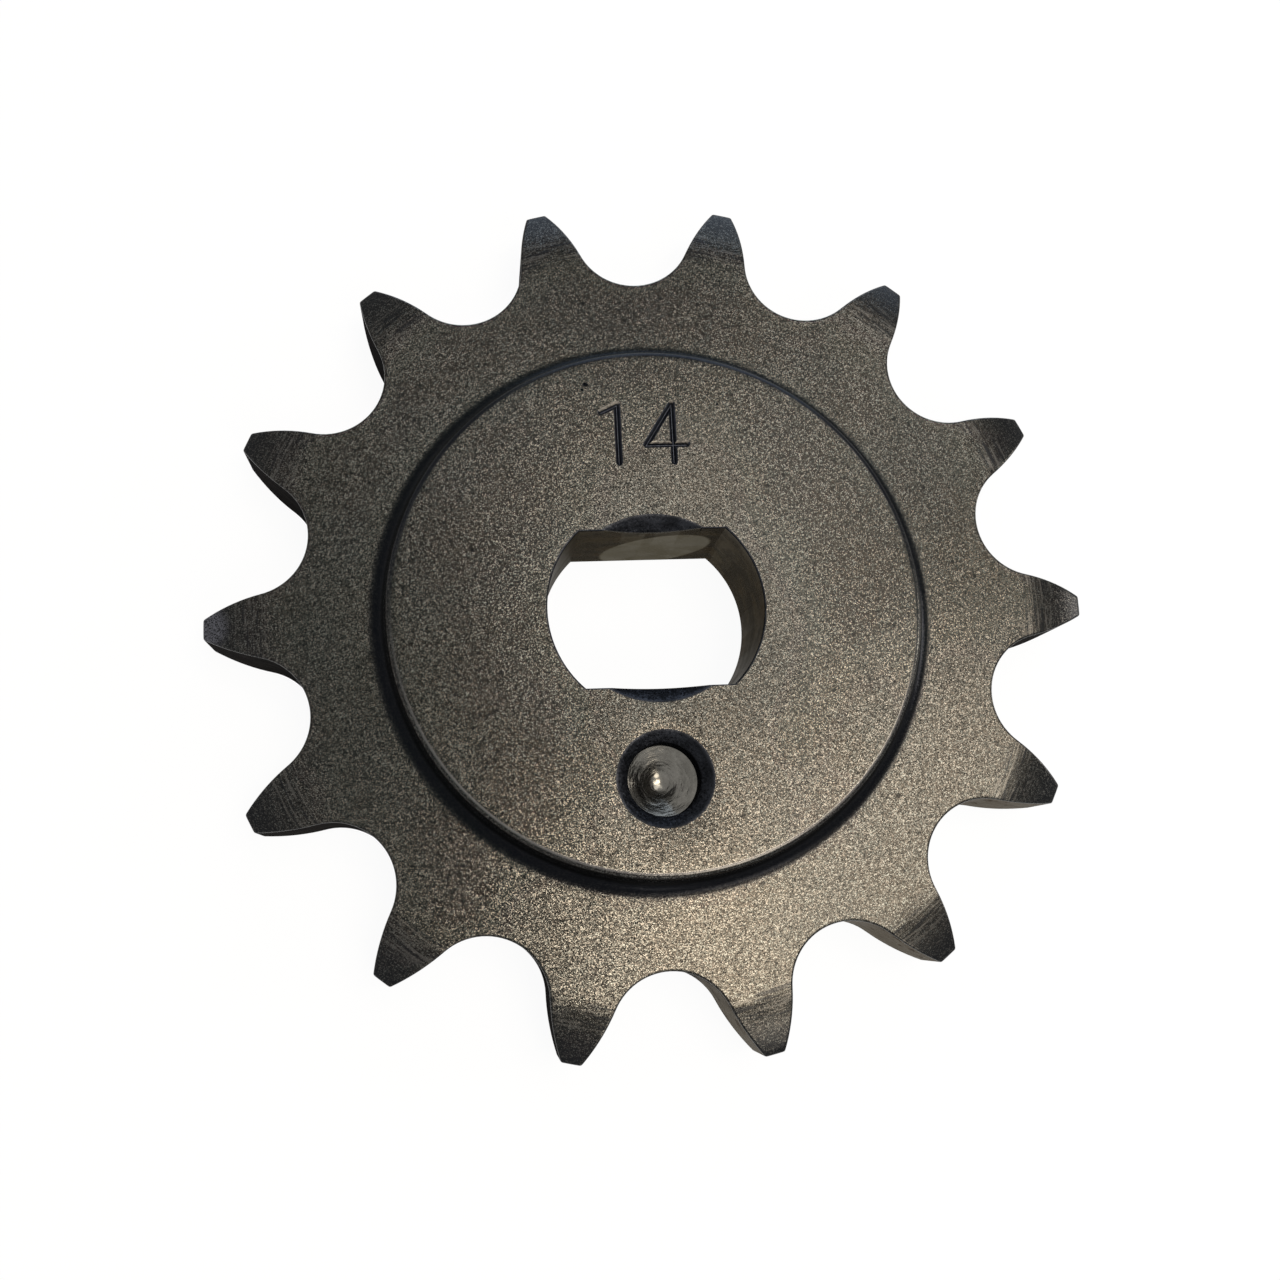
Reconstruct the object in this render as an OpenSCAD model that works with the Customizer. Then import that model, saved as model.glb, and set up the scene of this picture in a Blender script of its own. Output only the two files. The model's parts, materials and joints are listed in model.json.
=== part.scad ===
// Front sprocket: a flat toothed plate with a raised round boss on one side,
// a double-D bore, a blind drilled hole and the tooth count stamped above the bore.
// It lies on its flat back at z = 0. X runs along the bore's flats, and the stamped
// number is on the +Y side of the bore.

/* [Chain] */
// Number of teeth
teeth = 14; // [13:1:18]
// Chain pitch
chain_pitch = 12.7; // [12:0.1:14]
// Diameter of the chain's rollers
roller_d = 7.75; // [7.2:0.05:8.4]

/* [Teeth] */
// Radius of the arc that each roller sits in
seat_r = 4.3; // [4.2:0.05:4.6]
// Height of the tooth tips above the pitch circle
tip_rise = 2.8; // [2.3:0.05:3.2]
// Width of the flat land on each tooth tip
tip_land = 1.4; // [0.9:0.1:1.7]
// Radius of the bulged upper flanks
flank_r = 16; // [12:0.5:20]
// Radial width of the rounded bevel on each side of the tips
bevel_w = 4; // [3:0.1:4.6]
// Depth of that bevel at the tips
bevel_drop = 0.9; // [0.7:0.05:1.3]
// Radius of its rounding
bevel_r = 12; // [10:0.5:18]

/* [Plate and boss] */
// Thickness of the toothed plate
plate_t = 5.9; // [4.5:0.1:7.5]
// Diameter of the raised boss
boss_d = 37.2; // [36:0.2:40]
// Height of the boss above the plate
boss_h = 2.4; // [2:0.1:4]
// Radius of the hollow corner at the foot of the boss
boss_fillet = 1.25; // [0.8:0.05:1.6]
// Radius of the rounded rim of the boss
boss_rim = 0.3; // [0.1:0.05:0.35]

/* [Bore] */
// Diameter of the round walls of the bore
bore_d = 15; // [14:0.25:17]
// Distance between the two flats of the bore
bore_flats = 11; // [10:0.25:12.5]
// Width of the countersink that opens the flats at the boss face
bore_sink = 1; // [0.4:0.1:1.2]

/* [Blind hole] */
// Diameter of the drilled hole
hole_d = 5; // [4:0.25:6]
// Depth of its straight wall below the boss face
hole_depth = 2.3; // [1.6:0.1:3.5]
// Width of the countersink at its mouth
hole_sink = 0.75; // [0.3:0.05:1]
// Wall left between the bore's flat and the hole
hole_wall = 3.8; // [3:0.1:4.2]
// Angle of the drill point
drill_angle = 118; // [110:1:140]

/* [Stamped number] */
// Height of the digits
digit_h = 4.3; // [3:0.1:5]
// Width of the strokes
stroke_w = 0.44; // [0.3:0.02:0.6]
// Depth of the strokes
stroke_depth = 0.3; // [0.2:0.02:0.5]
// Distance from the bore's flat to the foot of the digits
digit_gap = 4.95; // [4:0.05:6]
// Sideways offset of the number from the middle
digit_shift = -0.25; // [-1:0.05:1]

/* [Hidden] */
$fn = 96;
overshoot = 0.5;

total_h = plate_t + boss_h;
boss_r = boss_d / 2;
flat_y = bore_flats / 2;
hole_r = hole_d / 2;

// Tooth geometry in the plane, for one gap centred on +Y and the tooth on its right
gap_angle = 360 / teeth;
pitch_r = chain_pitch / 2 / sin(gap_angle / 2);
root_r = pitch_r - roller_d / 2;
tip_r = pitch_r + tip_rise;
seat_centre = [0, root_r + seat_r];

// The tip corner lies on the tip circle, half a land short of the tooth's middle.
tip_corner_angle = gap_angle / 2 - asin(tip_land / 2 / tip_r);
tip_corner = tip_r * [sin(tip_corner_angle), cos(tip_corner_angle)];

// The flank circle passes through the tip corner and touches the seat circle.
seat_to_corner = tip_corner - seat_centre;
corner_dist = norm(seat_to_corner);
centre_dist = seat_r + flank_r;
along = (centre_dist ^ 2 - flank_r ^ 2 + corner_dist ^ 2) / 2 / corner_dist;
across = sqrt(centre_dist ^ 2 - along ^ 2);
to_corner = seat_to_corner / corner_dist;
seat_to_flank = along * to_corner + across * [to_corner[1], -to_corner[0]];
flank_centre = seat_centre + seat_to_flank;
neck_r = norm(seat_centre + seat_to_flank * seat_r / centre_dist);

// The rounded bevel runs through the two ends of its chord, in the section of the plate.
bevel_start = tip_r - bevel_w;
bevel_chord = norm([bevel_w, bevel_drop]);
bevel_centre_dist = sqrt(bevel_r ^ 2 - (bevel_chord / 2) ^ 2);
bevel_centre = [tip_r - bevel_w / 2 - bevel_centre_dist * bevel_drop / bevel_chord,
                plate_t - bevel_drop / 2 - bevel_centre_dist * bevel_w / bevel_chord];

// Digits as strokes in a cell one unit high, with round ends a little wider than the stroke
stroke_end_d = 1.1 * stroke_w;
digit_cell = 0.67;
digit_advance = 0.73;
glyphs = [
    [[[0.15, 0], [0, 0.2], [0, 0.8], [0.15, 1], [0.52, 1], [0.67, 0.8], [0.67, 0.2], [0.52, 0], [0.15, 0]]],
    [[[0, 0.87], [0.27, 1], [0.27, 0]]],
    [[[0, 0.82], [0.15, 1], [0.52, 1], [0.67, 0.82], [0.67, 0.62], [0, 0], [0.67, 0]]],
    [[[0, 1], [0.64, 1], [0.32, 0.6], [0.52, 0.6], [0.67, 0.45], [0.67, 0.15], [0.52, 0], [0, 0]]],
    [[[0.45, 0], [0.45, 1], [0, 0.3], [0.67, 0.3]]],
    [[[0.62, 1], [0.05, 1], [0, 0.56], [0.5, 0.6], [0.67, 0.42], [0.67, 0.18], [0.5, 0], [0, 0]]],
    [[[0.55, 1], [0.15, 0.72], [0, 0.4], [0, 0.15], [0.15, 0], [0.52, 0], [0.67, 0.15],
      [0.67, 0.4], [0.52, 0.55], [0.08, 0.55]]],
    [[[0, 1], [0.67, 1], [0.25, 0]]],
    [[[0.15, 0.53], [0, 0.7], [0, 0.88], [0.15, 1], [0.52, 1], [0.67, 0.88], [0.67, 0.7],
      [0.52, 0.53], [0.15, 0.53], [0, 0.36], [0, 0.14], [0.15, 0], [0.52, 0], [0.67, 0.14],
      [0.67, 0.36], [0.52, 0.53]]],
    [[[0.12, 0], [0.52, 0.28], [0.67, 0.6], [0.67, 0.85], [0.52, 1], [0.15, 1], [0, 0.85],
      [0, 0.6], [0.15, 0.45], [0.6, 0.45]]]
];

// One tooth above the roller seats, between its two flank circles
module tooth_tip() {
    rotate(-gap_angle / 2)
        intersection() {
            circle(tip_r);
            rotate(gap_angle / 2)
                translate(flank_centre)
                    circle(flank_r);
            rotate(-gap_angle / 2)
                translate([-flank_centre[0], flank_centre[1]])
                    circle(flank_r);
        }
}

module tooth_outline() {
    difference() {
        circle(neck_r);
        for (i = [0:teeth - 1])
            rotate(i * gap_angle)
                translate(seat_centre)
                    circle(seat_r);
    }
    for (i = [0:teeth - 1])
        rotate(i * gap_angle)
            tooth_tip();
}

// Section of what the upper bevel takes away, outside a circle through its two ends
module bevel_cut() {
    difference() {
        translate([bevel_start, plate_t / 2])
            square([bevel_w + overshoot, plate_t]);
        translate(bevel_centre)
            circle(bevel_r);
    }
}

// Round envelope that bevels the tooth tips on both sides
module bevel_envelope() {
    rotate_extrude()
        difference() {
            square([tip_r + overshoot, plate_t]);
            bevel_cut();
            translate([0, plate_t])
                mirror([0, 1])
                    bevel_cut();
        }
}

module toothed_plate() {
    intersection() {
        linear_extrude(plate_t)
            tooth_outline();
        bevel_envelope();
    }
}

// Half section of the boss from its axis outwards, with a hollow foot and a rounded rim
module boss_section() {
    difference() {
        square([boss_r + boss_fillet, total_h]);
        translate([boss_r + boss_fillet, plate_t + boss_fillet])
            circle(boss_fillet);
        translate([boss_r, plate_t + boss_fillet])
            square([boss_fillet + overshoot, boss_h]);
        translate([boss_r - boss_rim, total_h - boss_rim])
            difference() {
                square(boss_rim + overshoot);
                circle(boss_rim);
            }
    }
}

module boss() {
    rotate_extrude()
        boss_section();
}

module double_d_bore() {
    translate([0, 0, -overshoot])
        linear_extrude(total_h + 2 * overshoot)
            intersection() {
                circle(d = bore_d);
                square([bore_d + overshoot, bore_flats], center = true);
            }
    translate([0, 0, total_h - bore_sink - overshoot])
        cylinder(h = bore_sink + 2 * overshoot, r1 = flat_y - overshoot,
                 r2 = flat_y + bore_sink + overshoot);
}

module blind_hole() {
    point_h = hole_r / tan(drill_angle / 2);
    translate([0, -flat_y - hole_wall - hole_r, total_h])
        rotate_extrude()
            polygon([[0, -hole_depth - point_h], [hole_r, -hole_depth], [hole_r, -hole_sink],
                     [hole_r + hole_sink + overshoot, overshoot], [0, overshoot]]);
}

// Round-ended stroke between two points of a digit
module stroke(a, b) {
    run = b - a;
    translate(a)
        rotate(atan2(run[1], run[0]))
            translate([0, -stroke_w / 2])
                square([norm(run), stroke_w]);
    for (p = [a, b])
        translate(p)
            circle(d = stroke_end_d);
}

module digit(value) {
    for (line = glyphs[value])
        for (i = [0:len(line) - 2])
            stroke(line[i] * digit_h, line[i + 1] * digit_h);
}

module stamped_number() {
    width = (digit_advance + digit_cell) * digit_h;
    translate([digit_shift - width / 2, flat_y + digit_gap, total_h - stroke_depth])
        linear_extrude(stroke_depth + overshoot) {
            digit(floor(teeth / 10));
            translate([digit_advance * digit_h, 0])
                digit(teeth % 10);
        }
}

module sprocket() {
    color([0.36, 0.34, 0.31])
        difference() {
            union() {
                toothed_plate();
                boss();
            }
            double_d_bore();
            blind_hole();
            stamped_number();
        }
}

sprocket();
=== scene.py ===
import json
import math

import bpy
from mathutils import Matrix, Vector

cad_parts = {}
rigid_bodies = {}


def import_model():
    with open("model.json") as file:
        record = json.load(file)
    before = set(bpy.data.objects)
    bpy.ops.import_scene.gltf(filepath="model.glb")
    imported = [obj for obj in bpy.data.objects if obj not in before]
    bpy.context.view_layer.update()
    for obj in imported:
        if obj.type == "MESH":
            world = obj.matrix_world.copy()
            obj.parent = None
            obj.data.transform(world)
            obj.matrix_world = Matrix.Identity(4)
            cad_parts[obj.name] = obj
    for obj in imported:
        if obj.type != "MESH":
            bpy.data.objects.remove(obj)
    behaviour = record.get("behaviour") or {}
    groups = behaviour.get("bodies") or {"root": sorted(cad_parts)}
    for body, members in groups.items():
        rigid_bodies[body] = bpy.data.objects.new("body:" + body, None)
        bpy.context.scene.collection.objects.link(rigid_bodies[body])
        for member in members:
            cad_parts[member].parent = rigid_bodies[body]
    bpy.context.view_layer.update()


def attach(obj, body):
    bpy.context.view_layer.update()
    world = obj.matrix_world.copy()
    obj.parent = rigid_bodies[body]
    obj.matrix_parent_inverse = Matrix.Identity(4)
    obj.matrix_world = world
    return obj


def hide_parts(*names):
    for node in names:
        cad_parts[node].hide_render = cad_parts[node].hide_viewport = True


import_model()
mm = 0.001

# tooth profile, in millimetres
toothForm = {
    "teeth": 14,
    "pitch": 12.7,
    "rollerDiameter": 7.75,
    "seatRadius": 4.3,
    "tipRise": 2.799,
    "tipLand": 1.4,
    "flankRadius": 16.0,
    "tipCornerRadius": 0.22,
    "seatSteps": 14,
    "flankSteps": 9,
    "cornerSteps": 3,
    "landSteps": 2,
}

# plate, boss and bore, in millimetres
bodyForm = {
    "plateThickness": 5.9,
    "totalHeight": 8.3,
    "tipRadius": 31.336,
    "bevelWidth": 4.0,
    "bevelDrop": 0.9,
    "bevelRadius": 12.0,
    "toothRings": (30.9, 30.4, 29.8, 29.2, 28.6, 28.1, 27.7, 27.34, 26.6, 25.6),
    "ringGap": 0.05,
    "edgeBreak": 0.14,
    "bossRadius": 18.6,
    "bossFillet": 1.25,
    "bossRim": 0.48,
    "boreRadius": 7.5,
    "flatDistance": 5.5,
    "sinkWidth": 1.0,
    "boreEdgeBreak": 0.12,
    "faceInsets": (0.3, 1.0),
    "wallShares": (0.33, 0.67),
    "edgeSteps": 4,
    "filletSteps": 8,
    "rimSteps": 5,
    "boreSteps": 4,
    "sharpAngle": 38.0,
}

# blind hole, in millimetres
holeForm = {
    "place": (0.0, -11.8),
    "radius": 2.5,
    "wallDepth": 2.3,
    "sinkWidth": 0.75,
    "drillAngle": 118.0,
    "apexRadius": 0.9,
    "edgeBreak": 0.12,
    "footBreak": 0.08,
    "breakSteps": 4,
    "overFace": 0.4,
    "segments": 96,
}

# stamped tooth count, in millimetres; digits as strokes in a cell one unit high
numberForm = {
    "number": "14",
    "height": 4.25,
    "strokeWidth": 0.4,
    "flare": 0.04,
    "depth": 0.3,
    "overFace": 0.2,
    # sides that face up more than this share get the painted highlight
    "strokeHighlightFrom": 0.6,
    "foot": 10.36,
    "left": -3.2,
    "advance": 0.73,
    "strokes": {
        "1": [[(0, 0.87), (0.27, 1), (0.27, 0)]],
        "4": [[(0.45, 0), (0.45, 1), (0, 0.3), (0.67, 0.3)]],
    },
    "endSteps": 8,
}


def circleMeeting(a, ra, b, rb, side):
    # point at distance ra from a and rb from b, on the given side of the line a to b
    d = (b - a).length
    along = (ra * ra - rb * rb + d * d) / (2 * d)
    across = math.sqrt(ra * ra - along * along)
    u = (b - a) / d
    return a + along * u + side * across * Vector((u.y, -u.x))


def arcPoints(centre, radius, start, end, steps, hollow=False):
    # (point, outward normal) pairs along an arc, compass angles in radians
    pairs = []
    for i in range(steps + 1):
        a = start + (end - start) * i / steps
        n = Vector((math.sin(a), math.cos(a)))
        pairs.append((centre + radius * n, -n if hollow else n))
    return pairs


def toothOutline(form):
    # the whole profile as (point, normal) pairs, clockwise from the gap on +Y
    halfGap = math.pi / form["teeth"]
    pitchR = form["pitch"] / 2 / math.sin(halfGap)
    tipR = pitchR + form["tipRise"]
    seatR, flankR, cornerR = form["seatRadius"], form["flankRadius"], form["tipCornerRadius"]
    seat = Vector((0.0, pitchR - form["rollerDiameter"] / 2 + seatR))
    cornerAt = halfGap - math.asin(form["tipLand"] / 2 / tipR)
    corner = tipR * Vector((math.sin(cornerAt), math.cos(cornerAt)))
    flank = circleMeeting(seat, seatR + flankR, corner, flankR, 1)
    origin = Vector((0.0, 0.0))
    rounding = circleMeeting(origin, tipR - cornerR, flank, flankR - cornerR, -1)
    compass = lambda v: math.atan2(v.x, v.y)
    toSeat = compass(seat - flank)
    toRounding = compass(rounding - flank)
    tipStart = compass(rounding)
    half = arcPoints(seat, seatR, math.pi, toSeat + math.pi, form["seatSteps"], hollow=True)
    half += arcPoints(flank, flankR, toSeat, toRounding, form["flankSteps"])[1:]
    half += arcPoints(rounding, cornerR, toRounding, tipStart, form["cornerSteps"])[1:]
    half += arcPoints(origin, tipR, tipStart, halfGap, form["landSteps"])[1:]
    flip = Matrix(((-1, 0), (0, 1)))
    gap = [(flip @ p, flip @ n) for p, n in half[:0:-1]] + half[:-1]
    outline = []
    for k in range(form["teeth"]):
        turn = Matrix.Rotation(-2 * halfGap * k, 2)
        outline += [(turn @ p, turn @ n) for p, n in gap]
    return outline


def bend(before, corner, after, reach, steps, most=0.45):
    # rounds one corner of a profile line with points on a quadratic curve, which takes up
    # no more than the given share of either side
    toBefore, toAfter = before - corner, after - corner
    a = corner + toBefore.normalized() * min(reach, most * toBefore.length)
    b = corner + toAfter.normalized() * min(reach, most * toAfter.length)
    points = []
    for i in range(steps + 1):
        t = i / steps
        points.append((1 - t) ** 2 * a + 2 * t * (1 - t) * corner + t * t * b)
    return points


def bevelDrop(r, form):
    # how far the rounded tooth sides fall below the flat faces at this radius
    width, drop, bevelR = form["bevelWidth"], form["bevelDrop"], form["bevelRadius"]
    start = form["tipRadius"] - width
    if r <= start:
        return 0.0
    chord = math.hypot(width, drop)
    reach = math.sqrt(bevelR ** 2 - chord ** 2 / 4)
    middle = form["tipRadius"] - width / 2
    centre = Vector((middle - reach * drop / chord, -drop / 2 - reach * width / chord))
    return max(0.0, -centre.y - math.sqrt(bevelR ** 2 - (r - centre.x) ** 2))


def boreAngles(angles, form):
    # the columns' own angles, with the nearest ones moved onto the corners of the bore and
    # onto the ends of its countersink
    corner = math.asin(form["flatDistance"] / form["boreRadius"])
    mouth = math.asin(form["flatDistance"] / (form["flatDistance"] + form["sinkWidth"]))
    moved = list(angles)
    for base in (corner, mouth):
        for target in (base, math.pi - base, -base, base - math.pi):
            gapTo = lambda a: abs((a - target + math.pi) % (2 * math.pi) - math.pi)
            nearest = min(range(len(angles)), key=lambda j: gapTo(angles[j]))
            moved[nearest] = target
    return moved


def columnPoints(point, normal, boreAngle, form):
    # one closed line of (place, height, material) round the section through an outline point
    top, total = form["plateThickness"], form["totalHeight"]
    rim, fillet, bossR = form["bossRim"], form["bossFillet"], form["bossRadius"]
    edge = form["edgeBreak"]
    rows = []

    def add(place, z, finish):
        rows.append((Vector((place.x, place.y, z)), finish))

    # tooth edge, from the bottom bevel up the wall to the top bevel
    inner = point - normal * edge
    edgeSteps = form["edgeSteps"]
    for i in range(edgeSteps + 1):
        t = math.pi / 2 * i / edgeSteps
        place = point - normal * edge * (1 - math.sin(t))
        z = bevelDrop(place.length, form) + edge * (1 - math.cos(t))
        add(place, z, "face" if i < edgeSteps else "wall")
    low = bevelDrop(point.length, form) + edge
    high = top - low
    for share in form["wallShares"]:
        add(point, low + (high - low) * share, "wall")
    for i in range(edgeSteps + 1):
        t = math.pi / 2 * (1 - i / edgeSteps)
        place = point - normal * edge * (1 - math.sin(t))
        add(place, top - bevelDrop(place.length, form) - edge * (1 - math.cos(t)), "face")
    # top of the plate, inwards
    outward = inner.normalized()
    reach = inner.length
    toe = bossR + fillet
    rings = [min(r, reach - form["ringGap"] * (i + 1)) for i, r in enumerate(form["toothRings"])]
    for radius in rings:
        add(outward * radius, top - bevelDrop(radius, form), "face")
    # fillet, wall and rim of the boss
    filletSteps = form["filletSteps"]
    for i in range(filletSteps + 1):
        t = math.pi / 2 * i / filletSteps
        add(outward * (toe - fillet * math.sin(t)), top + fillet * (1 - math.cos(t)), "face")
    rimSteps = form["rimSteps"]
    for i in range(rimSteps + 1):
        t = math.pi / 2 * i / rimSteps
        add(outward * (bossR - rim * (1 - math.cos(t))), total - rim * (1 - math.sin(t)), "face")
    for inset in form["faceInsets"]:
        add(outward * (bossR - rim - inset), total, "face")
    # bore: section in (radius, height), from the boss face down to the back; the round
    # countersink is deepest in the middle of each flat and ends before the round sides
    direction = Vector((math.cos(boreAngle), math.sin(boreAngle)))
    slant = abs(direction.y)
    wallR = min(form["boreRadius"], form["flatDistance"] / max(slant, 0.001))
    mouthR = max(wallR, form["flatDistance"] + form["sinkWidth"])
    sink = mouthR - wallR
    hasSink = sink > 0.0001
    faceEdge = Vector((mouthR, total))
    wallEdge = Vector((wallR, total - (sink if hasSink else form["sinkWidth"])))
    backEdge = Vector((wallR, 0.0))
    outwards = Vector((form["flatDistance"], 0.0))
    breakBy, steps = form["boreEdgeBreak"], form["boreSteps"]
    section = [(p, "sink") for p in bend(faceEdge + outwards, faceEdge, wallEdge, breakBy, steps)]
    section += [(p, "bore") for p in bend(faceEdge, wallEdge, backEdge, breakBy * 0.6, steps // 2)]
    section += [(p, "bore") for p in bend(wallEdge, backEdge, backEdge + outwards, breakBy, steps)]
    section[steps] = (section[steps][0], "sink" if hasSink else "bore")
    for p, finish in section:
        add(direction * p.x, p.y, finish)
    rows[-1] = (rows[-1][0], "face")
    # back face, outwards, and the bottom bevel
    for radius in reversed(rings):
        add(outward * radius, bevelDrop(radius, form), "face")
    return rows


# looks

def nodeGroup(name, inputs, outputs):
    group = bpy.data.node_groups.new(name, "ShaderNodeTree")
    for label, kind, value in inputs:
        socket = group.interface.new_socket(label, in_out="INPUT", socket_type=kind)
        if value is not None:
            socket.default_value = value
    for label, kind in outputs:
        group.interface.new_socket(label, in_out="OUTPUT", socket_type=kind)
    return group, group.nodes.new("NodeGroupInput"), group.nodes.new("NodeGroupOutput")


class Wiring:
    # short calls for adding and joining nodes in one tree
    def __init__(self, tree):
        self.tree = tree

    def add(self, kind, **values):
        node = self.tree.nodes.new(kind)
        for key, value in values.items():
            setattr(node, key, value)
        return node

    def put(self, socket, value):
        if isinstance(value, bpy.types.NodeSocket):
            self.tree.links.new(value, socket)
        else:
            socket.default_value = value

    def math(self, operation, a, b=0.0, c=0.0):
        node = self.add("ShaderNodeMath", operation=operation)
        for socket, value in zip(node.inputs, (a, b, c)):
            self.put(socket, value)
        return node.outputs[0]

    def ramp(self, value, low, high, outLow=0.0, outHigh=1.0, smooth=True):
        node = self.add("ShaderNodeMapRange", interpolation_type="SMOOTHSTEP" if smooth else "LINEAR")
        for socket, given in zip(node.inputs, (value, low, high, outLow, outHigh)):
            self.put(socket, given)
        return node.outputs[0]

    def noise(self, vector, scale, detail=2.0, rough=0.5):
        node = self.add("ShaderNodeTexNoise")
        self.put(node.inputs["Vector"], vector)
        self.put(node.inputs["Scale"], scale)
        self.put(node.inputs["Detail"], detail)
        self.put(node.inputs["Roughness"], rough)
        return node.outputs["Fac"]

    def cells(self, vector, scale):
        node = self.add("ShaderNodeTexVoronoi", feature="F1")
        self.put(node.inputs["Vector"], vector)
        self.put(node.inputs["Scale"], scale)
        return node

    def split(self, colour):
        node = self.add("ShaderNodeSeparateColor")
        self.put(node.inputs[0], colour)
        return node.outputs

    def mix(self, share, a, b, blend="MIX"):
        node = self.add("ShaderNodeMix", data_type="RGBA", blend_type=blend)
        self.put(node.inputs["Factor"], share)
        self.put(node.inputs[6], a)
        self.put(node.inputs[7], b)
        return node.outputs[2]

    def vector(self, operation, a, b=None, scale=None):
        node = self.add("ShaderNodeVectorMath", operation=operation)
        self.put(node.inputs[0], a)
        if b is not None:
            self.put(node.inputs[1], b)
        if scale is not None:
            self.put(node.inputs["Scale"], scale)
        return node.outputs[0]

    def distance(self, a, b):
        node = self.add("ShaderNodeVectorMath", operation="DISTANCE")
        self.put(node.inputs[0], a)
        self.put(node.inputs[1], b)
        return node.outputs["Value"]

    def combine(self, x, y, z):
        node = self.add("ShaderNodeCombineXYZ")
        for socket, value in zip(node.inputs, (x, y, z)):
            self.put(socket, value)
        return node.outputs[0]

    def place(self):
        # the surface point in millimetres: vector, x, y, z and distance from the axis
        source = self.add("ShaderNodeTexCoord").outputs["Object"]
        scaled = self.add("ShaderNodeVectorMath", operation="SCALE")
        self.put(scaled.inputs[0], source)
        scaled.inputs["Scale"].default_value = 1 / mm
        parts = self.add("ShaderNodeSeparateXYZ")
        self.put(parts.inputs[0], scaled.outputs[0])
        x, y, z = parts.outputs
        r = self.math("SQRT", self.math("ADD", self.math("MULTIPLY", x, x), self.math("MULTIPLY", y, y)))
        return scaled.outputs[0], x, y, z, r


grainSet = {
    "grainSize": 0.08,
    "pitSpacing": 1.7,
    "pitFrom": 0.4,
    "pitEdge": (0.12, 0.06),
}


def makeBlastGrain(look):
    # grain left by blasting: each small facet has its own tone and its own tilt
    group, into, out = nodeGroup(
        "blastGrain",
        [("Grain Size", "NodeSocketFloat", look["grainSize"]),
         ("Pit Spacing", "NodeSocketFloat", look["pitSpacing"])],
        [("Speckle", "NodeSocketFloat"), ("Hue", "NodeSocketFloat"), ("Pits", "NodeSocketFloat"),
         ("Tilt", "NodeSocketVector")],
    )
    w = Wiring(group)
    vector, x, y, z, r = w.place()
    scale = w.math("DIVIDE", 1.0, into.outputs["Grain Size"])
    facets = w.cells(vector, scale).outputs["Color"]
    w.put(out.inputs["Speckle"], w.split(facets)[0])
    w.put(out.inputs["Hue"], w.split(facets)[1])
    sparse = w.cells(vector, w.math("DIVIDE", 1.0, into.outputs["Pit Spacing"]))
    chosen = w.math("GREATER_THAN", w.split(sparse.outputs["Color"])[0], look["pitFrom"])
    pit = w.ramp(sparse.outputs["Distance"], *look["pitEdge"])
    w.put(out.inputs["Pits"], w.math("MULTIPLY", chosen, pit))
    w.put(out.inputs["Tilt"], w.vector("ADD", facets, (-0.5, -0.5, -0.5)))
    return group


marksSet = {
    "pitch": 0.35,
    "breaks": 5.0,
    "roughness": 0.55,
    "linesFrom": (0.36, 0.66),
}


def makeTurningMarks(look):
    # marks that run round the bore's axis; more Breaks make them shorter
    group, into, out = nodeGroup(
        "turningMarks",
        [("Pitch", "NodeSocketFloat", look["pitch"]), ("Breaks", "NodeSocketFloat", look["breaks"])],
        [("Lines", "NodeSocketFloat"), ("Height", "NodeSocketFloat")],
    )
    w = Wiring(group)
    vector, x, y, z, r = w.place()
    turnScale = w.math("DIVIDE", into.outputs["Breaks"], w.math("MAXIMUM", r, 0.01))
    across = w.math("DIVIDE", r, into.outputs["Pitch"])
    arc = w.combine(across, w.math("MULTIPLY", x, turnScale), w.math("MULTIPLY", y, turnScale))
    lines = w.noise(arc, 1.0, rough=look["roughness"])
    w.put(out.inputs["Lines"], w.ramp(lines, *look["linesFrom"]))
    w.put(out.inputs["Height"], lines)
    return group


patchSet = {
    "patchSize": 7.0,
    "detail": 3.0,
    "warmRoughness": 0.6,
    "warmFrom": (0.35, 0.7),
    "darkFiner": 2.3,
    "darkRoughness": 0.65,
    "darkFrom": (0.45, 0.75),
}


def makePatchTint(look):
    # slow changes of tone over the steel
    group, into, out = nodeGroup(
        "patchTint",
        [("Patch Size", "NodeSocketFloat", look["patchSize"])],
        [("Warm", "NodeSocketFloat"), ("Dark", "NodeSocketFloat")],
    )
    w = Wiring(group)
    vector, x, y, z, r = w.place()
    scale = w.math("DIVIDE", 1.0, into.outputs["Patch Size"])
    warm = w.noise(vector, scale, look["detail"], look["warmRoughness"])
    w.put(out.inputs["Warm"], w.ramp(warm, *look["warmFrom"]))
    finer = w.math("MULTIPLY", scale, look["darkFiner"])
    dark = w.noise(vector, finer, look["detail"], look["darkRoughness"])
    w.put(out.inputs["Dark"], w.ramp(dark, *look["darkFrom"]))
    return group


blastGrain = makeBlastGrain(grainSet)
turningMarks = makeTurningMarks(marksSet)
patchTint = makePatchTint(patchSet)


def newMaterial(name):
    material = bpy.data.materials.new(name)
    material.use_nodes = True
    tree = material.node_tree
    tree.nodes.clear()
    w = Wiring(tree)
    out = w.add("ShaderNodeOutputMaterial")
    shader = w.add("ShaderNodeBsdfPrincipled")
    tree.links.new(shader.outputs[0], out.inputs[0])
    return material, w, shader


def useGroup(w, group, **values):
    node = w.add("ShaderNodeGroup")
    node.node_tree = group
    for label, value in values.items():
        node.inputs[label.replace("_", " ")].default_value = value
    return node.outputs


def roughNormal(w, height, distance, tilt, amount):
    # a bump of the given depth in metres, and on top of it the facets' own tilt
    bump = w.add("ShaderNodeBump")
    bump.inputs["Strength"].default_value = 1.0
    bump.inputs["Distance"].default_value = distance
    w.put(bump.inputs["Height"], height)
    tilted = w.vector("ADD", bump.outputs[0], w.vector("SCALE", tilt, scale=amount))
    return w.vector("NORMALIZE", tilted)


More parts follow.
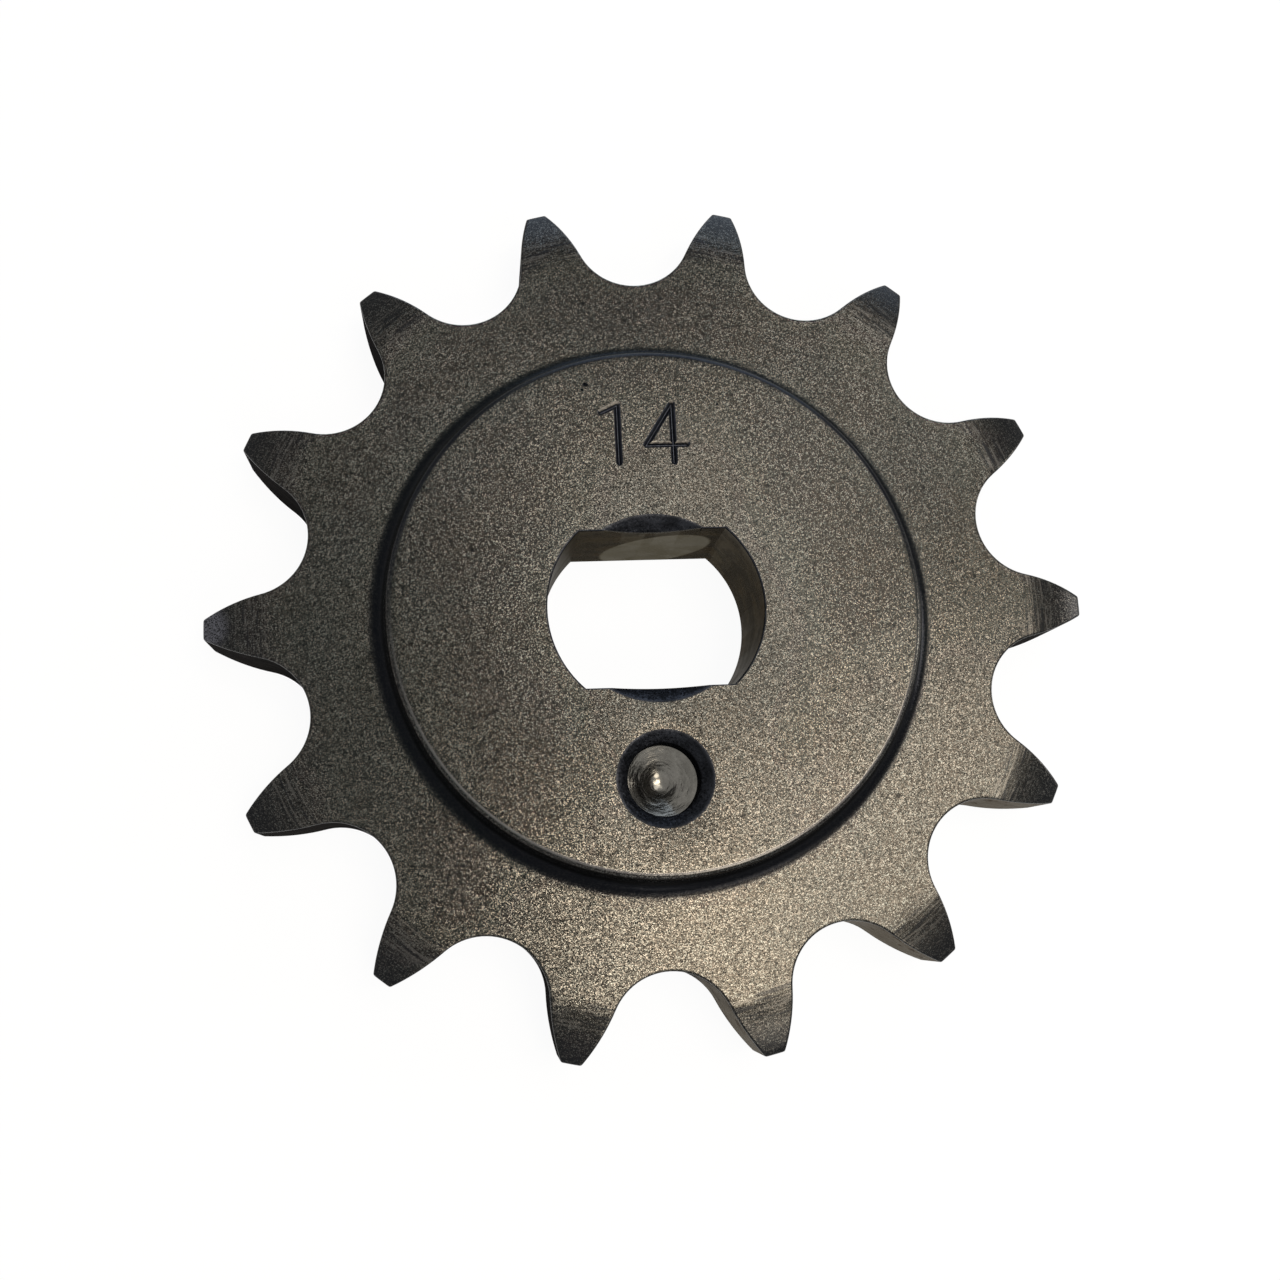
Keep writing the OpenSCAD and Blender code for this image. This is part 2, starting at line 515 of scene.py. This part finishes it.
faceLook = {
    "steel": (0.025, 0.0243, 0.0224, 1),
    "warm": (0.027, 0.0243, 0.0208, 1),
    "dark": (0.006, 0.006, 0.006, 1),
    "spark": (0.096, 0.093, 0.085, 1),
    "reddish": (1.06, 0.98, 0.94, 1),
    "greenish": (0.94, 1.02, 1.03, 1),
    # painted shade: a dark tone for the rounded tooth sides, for the dark they reflect
    "tip": (0.0112, 0.0116, 0.0125, 1),
    # painted shade: a near black tone for the fillet at the boss's foot
    "foot": (0.004, 0.0045, 0.006, 1),
    # painted shade: a dark blue tone for the boss bevel, for the dark it reflects
    "bevel": (0.008, 0.0083, 0.0112, 1),
    "scrape": (0.06, 0.057, 0.052, 1),
    # painted highlight: a pale tone for the top of the boss rim
    "paintedHighlight": (0.11, 0.105, 0.1, 1),
    # a lighter, speckled tone round this place on one tooth end
    "paleTipPlace": (-31.0, 0.1, 5.1),
    "paleTip": (0.085, 0.085, 0.095, 1),
    "metallic": 1.0,
    "roughness": 0.235,
    "grain": 0.055,
    "facetTilt": 0.085,
    "tipTilt": 0.08,
    "ringPitch": 0.3,
    "streakPitch": 0.11,
    "streakBreaks": 60.0,
    "ringDepth": 0.0025 * mm,
    "patchSize": 7.0,
    "warmShare": 0.8,
    "darkShare": 0.06,
    "streakShare": 0.16,
    "darkFrom": (0.06, 0.58),
    "sparkFrom": (0.62, 0.9),
    "sparkRings": 0.2,
    "pitShare": 0.8,
    "tipWander": 1.2,
    "tipShare": 0.93,
    "tipSparks": 0.4,
    "footShare": 0.92,
    "bevelShare": 0.9,
    "bevelLowerLit": 0.75,
    "rimShare": 0.8,
    "rimRings": 0.08,
    "scrapePitch": 0.17,
    "scrapeBreaks": 9.0,
    "brightFrom": (0.56, 0.62),
    "brightShare": 0.7,
    "dullFrom": (0.44, 0.38),
    "dullShare": 0.8,
    "paleTipFrom": (0.1, 0.75),
}
# where the face finish changes: radii and heights in millimetres, from none to full
faceZones = {
    "tip": (27.7, 31.0),
    "creaseStart": (26.4, 27.4),
    "creaseEnd": (29.8, 28.4),
    "footInner": (18.35, 18.6),
    "footOuter": (20.15, 19.4),
    "footTop": (8.0, 7.7),
    "footBottom": (3.0, 4.0),
    "bevelInner": (18.08, 18.2),
    "bevelHeight": (7.9, 8.0),
    "bevelLitSide": (9.0, -4.0),
    "rimInner": (18.08, 18.15),
    "rimOuter": (18.33, 18.23),
    "rimHeight": (8.0, 8.05),
    "rimLitSide": (2.0, -14.0),
    "paleTip": (2.0, 0.8),
}


def makeFaceSteel(look, zones):
    material, w, shader = newMaterial("blastedSteel")
    vector, x, y, z, r = w.place()
    grain = useGroup(w, blastGrain, Grain_Size=look["grain"])
    rings = useGroup(w, turningMarks, Pitch=look["ringPitch"])
    streaks = useGroup(w, turningMarks, Pitch=look["streakPitch"], Breaks=look["streakBreaks"])
    scrapes = useGroup(w, turningMarks, Pitch=look["scrapePitch"], Breaks=look["scrapeBreaks"])
    patches = useGroup(w, patchTint, Patch_Size=look["patchSize"])
    # speckled steel
    tone = w.mix(w.math("MULTIPLY", patches["Warm"], look["warmShare"]), look["steel"], look["warm"])
    tone = w.mix(w.math("MULTIPLY", patches["Dark"], look["darkShare"]), tone, look["dark"])
    speckle = w.math("MULTIPLY", grain["Speckle"], 1.0 - look["streakShare"])
    speckle = w.math("MULTIPLY_ADD", streaks["Lines"], look["streakShare"], speckle)
    tone = w.mix(w.ramp(speckle, *look["darkFrom"]), look["dark"], tone)
    sparks = w.ramp(speckle, *look["sparkFrom"])
    ringed = w.math("MULTIPLY_ADD", rings["Lines"], look["sparkRings"], 1.0 - look["sparkRings"])
    tone = w.mix(w.math("MULTIPLY", sparks, ringed), tone, look["spark"])
    tone = w.mix(w.math("MULTIPLY", grain["Pits"], look["pitShare"]), tone, look["dark"])
    tint = w.mix(grain["Hue"], look["reddish"], look["greenish"])
    tone = w.mix(1.0, tone, tint, blend="MULTIPLY")
    # the rounded tooth sides are smooth and painted darker, as painted shade for the dark they reflect,
    # with a few scrapes where they begin
    uneven = w.math("MULTIPLY_ADD", w.math("SUBTRACT", rings["Height"], 0.5), look["tipWander"], r)
    tipMask = w.ramp(uneven, *zones["tip"])
    tipShare = w.math("SUBTRACT", look["tipShare"], w.math("MULTIPLY", sparks, look["tipSparks"]))
    tone = w.mix(w.math("MULTIPLY", tipMask, tipShare), tone, look["tip"])
    crease = w.math("MULTIPLY", w.ramp(r, *zones["creaseStart"]), w.ramp(r, *zones["creaseEnd"]))
    bright = w.math("MULTIPLY", w.ramp(scrapes["Height"], *look["brightFrom"]), look["brightShare"])
    tone = w.mix(w.math("MULTIPLY", crease, bright), tone, look["scrape"])
    dull = w.math("MULTIPLY", w.ramp(scrapes["Height"], *look["dullFrom"]), look["dullShare"])
    tone = w.mix(w.math("MULTIPLY", crease, dull), tone, look["tip"])
    # painted shade: the boss's foot and bevel are painted dark for the shade and dark reflection there,
    # the bevel less so on its lower side; the top of the rim gets a painted highlight, mostly on its lower
    # side
    # painted shade in the fillet round the foot of the boss
    foot = w.math("MULTIPLY", w.ramp(r, *zones["footInner"]), w.ramp(r, *zones["footOuter"]))
    level = w.math("MULTIPLY", w.ramp(z, *zones["footTop"]), w.ramp(z, *zones["footBottom"]))
    foot = w.math("MULTIPLY", foot, level)
    tone = w.mix(w.math("MULTIPLY", foot, look["footShare"]), tone, look["foot"])
    # painted shade: the bevel is painted dark, less so towards the lower side, where the light falls
    bevel = w.math("MULTIPLY", w.ramp(r, *zones["bevelInner"]), w.ramp(z, *zones["bevelHeight"]))
    left = w.math("MULTIPLY_ADD", w.ramp(y, *zones["bevelLitSide"]), -look["bevelLowerLit"], look["bevelShare"])
    bevel = w.math("MULTIPLY", bevel, left)
    tone = w.mix(bevel, tone, look["bevel"])
    # painted highlight: the top of the rim is painted pale, mostly on its lower side, with faint rings
    rim = w.math("MULTIPLY", w.ramp(r, *zones["rimInner"]), w.ramp(r, *zones["rimOuter"]))
    rim = w.math("MULTIPLY", rim, w.ramp(z, *zones["rimHeight"]))
    ringShare = w.math("MULTIPLY", rings["Lines"], look["rimRings"])
    paintedLight = w.math("MULTIPLY_ADD", w.ramp(y, *zones["rimLitSide"]), look["rimShare"], ringShare)
    tone = w.mix(w.math("MULTIPLY", rim, paintedLight), tone, look["paintedHighlight"])
    # one tooth end is lighter and speckled
    away = w.distance(vector, look["paleTipPlace"])
    paleSpeckle = w.ramp(grain["Speckle"], *look["paleTipFrom"])
    paleTip = w.math("MULTIPLY", w.ramp(away, *zones["paleTip"]), paleSpeckle)
    tone = w.mix(paleTip, tone, look["paleTip"])
    w.put(shader.inputs["Base Color"], tone)
    shader.inputs["Metallic"].default_value = look["metallic"]
    shader.inputs["Roughness"].default_value = look["roughness"]
    height = w.math("ADD", rings["Height"], streaks["Height"])
    smooth = w.math("MAXIMUM", tipMask, foot)
    tilt = w.math("MULTIPLY_ADD", smooth, look["tipTilt"] - look["facetTilt"], look["facetTilt"])
    w.put(shader.inputs["Normal"], roughNormal(w, height, look["ringDepth"], grain["Tilt"], tilt))
    return material


# what all the cut walls share; each has its own look besides
cutSet = {
    "grain": 0.12,
    "stretch": 0.5,
    "streakDetail": 3.0,
    "streakRoughness": 0.6,
    "streakFrom": (0.35, 0.68),
    "speckShare": 0.3,
    "roughnessRange": 0.1,
}
wallLook = {
    "steel": (0.03, 0.03, 0.031, 1),
    "dark": (0.012, 0.012, 0.014, 1),
    "edgeTint": (0.26, 0.25, 0.235, 1),
    "metallic": 0.0,
    "specular": 0.0,
    "streakScale": 3.5,
    "streakMix": 0.7,
    "roughness": 0.38,
    "streakDepth": 0.014 * mm,
    "facetTilt": 0.12,
}
# painted light: towards the lower right the walls are painted as bright bare steel with rust flecks,
# standing in for the light they catch there; in millimetres
wallLitSide = {
    "place": (17.5, -24.5, 3.0),
    "reach": (15.0, 19.0),
    "steel": (0.22, 0.2, 0.17, 1),
    "rust": (0.07, 0.045, 0.028, 1),
    "rustFrom": (0.56, 0.66),
    "patchScale": 0.9,
    "patchDetail": 4.0,
    "patchRoughness": 0.7,
    "wander": 4.0,
    "streakLoss": 0.3,
}


def makeWallSteel(name, look, polish=None, litSide=None):
    # cut walls, with streaks that run along the cut; polish is a patch of brighter steel, and the other
    # patch is painted light that makes the walls on one side bright
    material, w, shader = newMaterial(name)
    shader.inputs["Metallic"].default_value = look["metallic"]
    vector, x, y, z, r = w.place()
    grain = useGroup(w, blastGrain, Grain_Size=cutSet["grain"])
    across = w.math("MULTIPLY", z, look["streakScale"])
    level = [w.math("MULTIPLY", part, cutSet["stretch"]) for part in (x, y)]
    streaks = w.noise(w.combine(*level, across), 1.0, cutSet["streakDetail"], cutSet["streakRoughness"])
    streaks = w.ramp(streaks, *cutSet["streakFrom"])
    tone = w.mix(w.math("MULTIPLY", streaks, look["streakMix"]), look["steel"], look["dark"])
    tone = w.mix(w.math("MULTIPLY", grain["Speckle"], cutSet["speckShare"]), tone, look["dark"])
    # painted light: walls near the given place are painted bright steel with rust flecks, and made
    # metallic, as if lit
    if litSide:
        rough = w.noise(vector, litSide["patchScale"], litSide["patchDetail"], litSide["patchRoughness"])
        away = w.math("MULTIPLY_ADD", rough, litSide["wander"], w.distance(vector, litSide["place"]))
        litPatch = w.ramp(away, litSide["reach"][1], litSide["reach"][0])
        paintedLight = w.mix(w.ramp(rough, *litSide["rustFrom"]), litSide["steel"], litSide["rust"])
        kept = w.math("MULTIPLY_ADD", streaks, -litSide["streakLoss"], 1.0)
        tone = w.mix(w.math("MULTIPLY", litPatch, kept), tone, paintedLight)
        w.put(shader.inputs["Metallic"], litPatch)
    if polish:
        angle = math.radians(polish["angle"])
        u = w.math("SUBTRACT", x, polish["centre"][0])
        v = w.math("SUBTRACT", z, polish["centre"][1])
        along = w.math("MULTIPLY_ADD", u, math.cos(angle), w.math("MULTIPLY", v, math.sin(angle)))
        up = w.math("MULTIPLY_ADD", v, math.cos(angle), w.math("MULTIPLY", u, -math.sin(angle)))
        along = w.math("DIVIDE", along, polish["long"])
        up = w.math("DIVIDE", up, polish["short"])
        inside = w.math("ADD", w.math("MULTIPLY", along, along), w.math("MULTIPLY", up, up))
        patch = w.math("MULTIPLY", w.ramp(inside, *polish["edge"]), w.ramp(y, *polish["flatFrom"]))
        tone = w.mix(patch, tone, polish["steel"])
    w.put(shader.inputs["Base Color"], tone)
    shader.inputs["Specular IOR Level"].default_value = look["specular"]
    shader.inputs["Specular Tint"].default_value = look["edgeTint"]
    rougher = w.math("MULTIPLY_ADD", streaks, cutSet["roughnessRange"], look["roughness"])
    w.put(shader.inputs["Roughness"], rougher)
    normal = roughNormal(w, streaks, look["streakDepth"], grain["Tilt"], look["facetTilt"])
    w.put(shader.inputs["Normal"], normal)
    return material


boreLook = {
    "steel": (0.15, 0.142, 0.126, 1),
    "dark": (0.075, 0.07, 0.062, 1),
    "edgeTint": (0.2, 0.19, 0.17, 1),
    "metallic": 1.0,
    "specular": 0.5,
    "streakScale": 0.8,
    "streakMix": 0.7,
    "roughness": 0.34,
    "streakDepth": 0.008 * mm,
    "facetTilt": 0.06,
}
borePolish = {
    "centre": (0.8, 3.0),
    "long": 4.5,
    "short": 3.0,
    "angle": 42.0,
    "flatFrom": (5.2, 5.4),
    "edge": (1.05, 0.9),
    "steel": (0.22, 0.21, 0.185, 1),
}
sinkLook = {
    "steel": (0.023, 0.0245, 0.029, 1),
    "dark": (0.005, 0.0053, 0.006, 1),
    "edgeTint": (0.25, 0.25, 0.28, 1),
    "metallic": 1.0,
    "specular": 0.5,
    "streakScale": 2.0,
    "streakMix": 0.7,
    "roughness": 0.4,
    "streakDepth": 0.01 * mm,
    "facetTilt": 0.3,
}
drilledLook = {
    "steel": (0.17, 0.162, 0.143, 1),
    "dark": (0.05, 0.047, 0.042, 1),
    "edgeTint": (0.9, 0.88, 0.85, 1),
    "metallic": 1.0,
    "specular": 0.5,
    "streakScale": 2.5,
    "streakMix": 0.4,
    "roughness": 0.17,
    "streakDepth": 0.013 * mm,
    "facetTilt": 0.02,
}
# painted highlight: bright steel for the lit upper sides of the stamped strokes
strokeHighlightLook = {
    "steel": (0.3, 0.27, 0.225, 1),
    "dark": (0.1, 0.09, 0.08, 1),
    "edgeTint": (0.5, 0.5, 0.5, 1),
    "metallic": 1.0,
    "specular": 0.5,
    "streakScale": 2.0,
    "streakMix": 0.7,
    "roughness": 0.36,
    "streakDepth": 0.01 * mm,
    "facetTilt": 0.3,
}
stampLook = {
    "steel": (0.042, 0.046, 0.057, 1),
    "dark": (0.019, 0.021, 0.026, 1),
    "edgeTint": (0.3, 0.3, 0.3, 1),
    "metallic": 1.0,
    "specular": 0.5,
    "streakScale": 2.0,
    "streakMix": 0.7,
    "roughness": 0.36,
    "streakDepth": 0.01 * mm,
    "facetTilt": 0.12,
}

print("materials")
finishes = {
    "face": makeFaceSteel(faceLook, faceZones),
    "wall": makeWallSteel("cutSteel", wallLook, litSide=wallLitSide),
    "bore": makeWallSteel("boreSteel", boreLook, polish=borePolish),
    "sink": makeWallSteel("sinkSteel", sinkLook),
    "drilled": makeWallSteel("drilledSteel", drilledLook),
    "stamp": makeWallSteel("stampedSteel", stampLook),
    "strokeHighlight": makeWallSteel("strokeHighlightSteel", strokeHighlightLook),
}


def meshObject(name, vertices, polygons, polygonFinishes):
    mesh = bpy.data.meshes.new(name)
    mesh.from_pydata([v * mm for v in vertices], [], polygons)
    for material in finishes.values():
        mesh.materials.append(material)
    order = list(finishes)
    mesh.polygons.foreach_set("material_index", [order.index(f) for f in polygonFinishes])
    mesh.update()
    made = bpy.data.objects.new(name, mesh)
    bpy.context.scene.collection.objects.link(made)
    return made


def makeBody():
    outline = toothOutline(toothForm)
    angles = [math.atan2(p.y, p.x) for p, n in outline]
    inBore = boreAngles(angles, bodyForm)
    columns = [columnPoints(p, n, a, bodyForm) for (p, n), a in zip(outline, inBore)]
    count, rows = len(columns), len(columns[0])
    vertices = [v for column in columns for v, finish in column]
    polygons, polygonFinishes = [], []
    for j in range(count):
        k = (j + 1) % count
        for i in range(rows):
            n = (i + 1) % rows
            polygons.append((j * rows + i, j * rows + n, k * rows + n, k * rows + i))
            polygonFinishes.append(columns[j][i][1])
    return meshObject("sprocketBody", vertices, polygons, polygonFinishes)


def makeHoleCutter(form, total):
    r, breakBy, bends = form["radius"], form["edgeBreak"], form["breakSteps"]
    tip = Vector((0.0, -form["wallDepth"] - r / math.tan(math.radians(form["drillAngle"] / 2))))
    shoulder = Vector((r, -form["wallDepth"]))
    sinkFoot = Vector((r, -form["sinkWidth"]))
    mouth = Vector((r + form["sinkWidth"], 0.0))
    beyond = mouth + Vector((1.0, 0.0))
    apexR, slope = form["apexRadius"], (shoulder.y - tip.y) / r
    line = []
    for share in (0.25, 0.5, 0.75, 1.0):
        # the cone eases out to a flat middle
        rise = slope * apexR * (0.5 + share * share / 2)
        line.append((Vector((apexR * share, tip.y + rise)), "drilled"))
    line += [(shoulder, "sink")]
    line += [(p, "sink") for p in bend(shoulder, sinkFoot, mouth, form["footBreak"], bends // 2)]
    line += [(p, "sink") for p in bend(sinkFoot, mouth, beyond, breakBy, bends)]
    line += [(Vector((mouth.x + breakBy + 0.02, form["overFace"])), "sink")]
    steps = form["segments"]
    vertices = [Vector((0, 0, tip.y + slope * apexR / 2))]
    polygons, polygonFinishes = [], []
    for j in range(steps):
        a = 2 * math.pi * j / steps
        vertices += [Vector((p.x * math.cos(a), p.x * math.sin(a), p.y)) for p, finish in line]
    n = len(line)
    for j in range(steps):
        k = (j + 1) % steps
        polygons.append((0, 1 + k * n, 1 + j * n))
        polygonFinishes.append("drilled")
        for i in range(n - 1):
            here, there = 1 + j * n + i, 1 + k * n + i
            polygons.append((here, there, there + 1, here + 1))
            polygonFinishes.append(line[i][1])
    polygons.append([1 + j * n + n - 1 for j in range(steps)])
    polygonFinishes.append("sink")
    place = Vector((form["place"][0], form["place"][1], total))
    return meshObject("holeCutter", [v + place for v in vertices], polygons, polygonFinishes)


def strokeEnds(form):
    # the two ends of every stroke of the number, in place on the boss face
    pairs = []
    for place, digit in enumerate(form["number"]):
        def onFace(point):
            x, y = point
            return Vector((form["left"] + (x + place * form["advance"]) * form["height"],
                           form["foot"] + y * form["height"]))
        for line in form["strokes"][digit]:
            pairs += [(onFace(start), onFace(end)) for start, end in zip(line, line[1:])]
    return pairs


def strokeLoop(a, b, width, steps):
    # a slot outline round the line a to b, as points in the plane
    run = math.atan2(b.y - a.y, b.x - a.x)
    points = []
    for centre, start in ((b, run - math.pi / 2), (a, run + math.pi / 2)):
        for i in range(steps + 1):
            t = start + math.pi * i / steps
            points.append(centre + width / 2 * Vector((math.cos(t), math.sin(t))))
    return points


def makeStroke(name, a, b, form, total):
    # (width, height) from the groove's bottom to a little above the face
    stroke, flare, depth = form["strokeWidth"], form["flare"], form["depth"]
    levels = [
        (stroke * 0.1, -depth),
        (stroke * 0.5, -depth * 0.5),
        (stroke, -flare),
        (stroke + 2 * flare, 0.0),
        (stroke + 2 * flare + 0.02, form["overFace"]),
    ]
    loops = [strokeLoop(a, b, width, form["endSteps"]) for width, z in levels]
    n = len(loops[0])
    vertices = [Vector((p.x, p.y, total + z)) for loop, (width, z) in zip(loops, levels) for p in loop]
    polygons = [list(range(n))[::-1], [(len(levels) - 1) * n + i for i in range(n)]]
    polygonFinishes = ["stamp", "stamp"]
    for level in range(len(levels) - 1):
        for i in range(n):
            k = (i + 1) % n
            below, above = level * n, (level + 1) * n
            polygons.append((below + i, below + k, above + k, above + i))
            # painted highlight: the upper side of a stroke gets bright steel, as if lit
            side = loops[-1][k] - loops[-1][i]
            paintedHighlight = level >= 1 and -side.x > form["strokeHighlightFrom"] * side.length
            polygonFinishes.append("strokeHighlight" if paintedHighlight else "stamp")
    return meshObject(name, vertices, polygons, polygonFinishes)


# dents in the boss face, in millimetres
dentForm = {
    "sides": 6,
    "levels": [(0.45, -0.8), (1.0, 0.0), (1.2, 0.3)],  # share of the radius, share of the depth
    "unevenness": 0.25,
    "dents": [  # x, y, radius, depth
        (-4.22, 16.1, 0.2, 0.3),
        (-4.45, 15.72, 0.12, 0.18),
        (5.05, 14.5, 0.12, 0.18),
        (-4.6, 10.4, 0.09, 0.15),
    ],
}


def makeDent(name, x, y, radius, depth, form, total):
    # a shallow pit with uneven sides, pointed below and wider than its mouth above the face
    sides, levels = form["sides"], form["levels"]
    vertices = [Vector((x, y, total - depth))]
    for spread, height in levels:
        for i in range(sides):
            a = 2 * math.pi * i / sides
            reach = radius * spread * (1 + form["unevenness"] * math.sin(2.3 * i + x))
            side = Vector((reach * math.cos(a), reach * math.sin(a), height * depth))
            vertices.append(Vector((x, y, total)) + side)
    polygons = []
    for i in range(sides):
        k = (i + 1) % sides
        polygons.append((0, 1 + k, 1 + i))
        for level in range(len(levels) - 1):
            below, above = 1 + level * sides, 1 + (level + 1) * sides
            polygons.append((below + i, below + k, above + k, above + i))
    polygons.append([1 + (len(levels) - 1) * sides + i for i in range(sides)])
    return meshObject(name, vertices, polygons, ["stamp"] * len(polygons))


def cutAway(target, cutters):
    for cutter in cutters:
        cut = target.modifiers.new(cutter.name, "BOOLEAN")
        cut.operation = "DIFFERENCE"
        cut.solver = "EXACT"
        cut.object = cutter
    graph = bpy.context.evaluated_depsgraph_get()
    result = bpy.data.meshes.new_from_object(target.evaluated_get(graph))
    target.modifiers.clear()
    target.data = result
    for cutter in cutters:
        bpy.data.objects.remove(cutter)


print("body: columns and rows")
sprocket = makeBody()
total = bodyForm["totalHeight"]
cutters = [makeHoleCutter(holeForm, total)]
for start, end in strokeEnds(numberForm):
    cutters.append(makeStroke("stroke%d" % len(cutters), start, end, numberForm, total))
for x, y, radius, depth in dentForm["dents"]:
    cutters.append(makeDent("dent%d" % len(cutters), x, y, radius, depth, dentForm, total))
print("body: hole, stamped number and dents")
for cutter in cutters:
    cutAway(sprocket, [cutter])
for polygon in sprocket.data.polygons:
    polygon.use_smooth = True
sprocket.data.set_sharp_from_angle(angle=math.radians(bodyForm["sharpAngle"]))
flatten = sprocket.modifiers.new("flatFaces", "WEIGHTED_NORMAL")
flatten.mode = "FACE_AREA"
flatten.keep_sharp = True
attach(sprocket, "root")
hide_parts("sprocket")


# floor, light and camera

stageLook = {
    "floorColour": (0.9, 0.9, 0.9, 1),
    "floorSelf": 0.95,
    "size": 6.0,
    "worldColour": (1.0, 1.0, 1.0, 1),
    "worldLight": 0.2,
}


def seenDirectly(w):
    # one for rays that show the stage itself, none for the light that it throws
    path = w.add("ShaderNodeLightPath")
    mirrored = w.math("MAXIMUM", path.outputs["Is Glossy Ray"], path.outputs["Is Transmission Ray"])
    return w.math("MAXIMUM", path.outputs["Is Camera Ray"], mirrored)


def makeFloor(look):
    half = look["size"] / 2
    mesh = bpy.data.meshes.new("floor")
    corners = [(-half, -half, 0), (half, -half, 0), (half, half, 0), (-half, half, 0)]
    mesh.from_pydata(corners, [], [(0, 1, 2, 3)])
    floor = bpy.data.objects.new("floor", mesh)
    bpy.context.scene.collection.objects.link(floor)
    floor.location.z = -0.02 * mm  # just clear of the back face
    material = bpy.data.materials.new("paleFloor")
    material.use_nodes = True
    tree = material.node_tree
    tree.nodes.clear()
    w = Wiring(tree)
    out = w.add("ShaderNodeOutputMaterial")
    diffuse = w.add("ShaderNodeBsdfDiffuse")
    diffuse.inputs["Color"].default_value = look["floorColour"]
    glow = w.add("ShaderNodeEmission")
    glow.inputs["Color"].default_value = (1, 1, 1, 1)
    glow.inputs["Strength"].default_value = 1.0
    mix = w.add("ShaderNodeMixShader")
    w.put(mix.inputs[0], w.math("MULTIPLY", seenDirectly(w), look["floorSelf"]))
    tree.links.new(diffuse.outputs[0], mix.inputs[1])
    tree.links.new(glow.outputs[0], mix.inputs[2])
    tree.links.new(mix.outputs[0], out.inputs[0])
    mesh.materials.append(material)


def makeWorld(look):
    world = bpy.data.worlds.new("studio")
    bpy.context.scene.world = world
    world.use_nodes = True
    tree = world.node_tree
    tree.nodes.clear()
    w = Wiring(tree)
    out = w.add("ShaderNodeOutputWorld")
    sky = w.add("ShaderNodeBackground")
    sky.inputs["Color"].default_value = look["worldColour"]
    strength = w.ramp(seenDirectly(w), 0.0, 1.0, look["worldLight"], 1.0, smooth=False)
    w.put(sky.inputs["Strength"], strength)
    tree.links.new(sky.outputs[0], out.inputs[0])


lamps = {
    "key": {"place": (0.11, -0.05, 0.53), "size": 0.14, "power": 1.06, "colour": (1.0, 0.87, 0.7)},
    "side": {"place": (0.245, 0.025, 0.53), "size": 0.15, "power": 0.76, "colour": (1.0, 0.9, 0.76)},
    "upper": {"place": (0.11, 0.14, 0.53), "size": 0.15, "power": 0.4, "colour": (1.0, 0.93, 0.82)},
    "back": {"place": (0.0, 0.23, 0.53), "size": 0.15, "power": 0.09, "colour": (1.0, 0.96, 0.9)},
    "far": {"place": (0.26, 0.28, 0.53), "size": 0.2, "power": 0.36, "colour": (1.0, 0.95, 0.88)},
    "low": {"place": (0.175, -0.28, 0.42), "size": 0.22, "power": 0.75, "colour": (1.0, 0.9, 0.76)},
    "front": {"place": (0.06, -0.6, 0.24), "size": 0.15, "power": 0.2, "colour": (1.0, 0.93, 0.84)},
    "right": {"place": (0.5, 0.05, 0.2), "size": 0.15, "power": 0.7, "colour": (1.0, 0.94, 0.86)},
    "sky": {"place": (0.12, 0.5, 0.16), "size": 0.5, "power": 1.4, "colour": (0.62, 0.78, 1.0)},
}


def makeLamp(name, look):
    data = bpy.data.lights.new(name, "AREA")
    data.shape = "DISK"
    data.size = look["size"]
    data.energy = look["power"]
    data.color = look["colour"]
    lamp = bpy.data.objects.new(name, data)
    bpy.context.scene.collection.objects.link(lamp)
    lamp.location = look["place"]
    lamp.rotation_euler = (-Vector(look["place"])).to_track_quat("-Z", "Y").to_euler()


cameraSet = {
    "place": (-13.115, -20.093, 97.021),
    "right": (0.99742, -0.0411, 0.05891),
    "up": (0.03172, 0.98786, 0.1521),
    "lens": 37.479,
    "shift": (0.067, 0.0514),
}


def makeCamera(look):
    data = bpy.data.cameras.new("photoCamera")
    data.sensor_width = 36.0
    data.lens = look["lens"]
    data.shift_x, data.shift_y = look["shift"]
    data.clip_start = 0.005
    data.clip_end = 20.0
    camera = bpy.data.objects.new("photoCamera", data)
    bpy.context.scene.collection.objects.link(camera)
    right, up = Vector(look["right"]).normalized(), Vector(look["up"]).normalized()
    back = right.cross(up)
    turn = Matrix((right, up, back)).transposed()
    camera.matrix_world = Matrix.Translation(Vector(look["place"]) * mm) @ turn.to_4x4()
    bpy.context.scene.camera = camera


print("floor, light and camera")
makeFloor(stageLook)
makeWorld(stageLook)
for name, look in lamps.items():
    makeLamp(name, look)
makeCamera(cameraSet)
bpy.context.scene.view_settings.view_transform = "Standard"
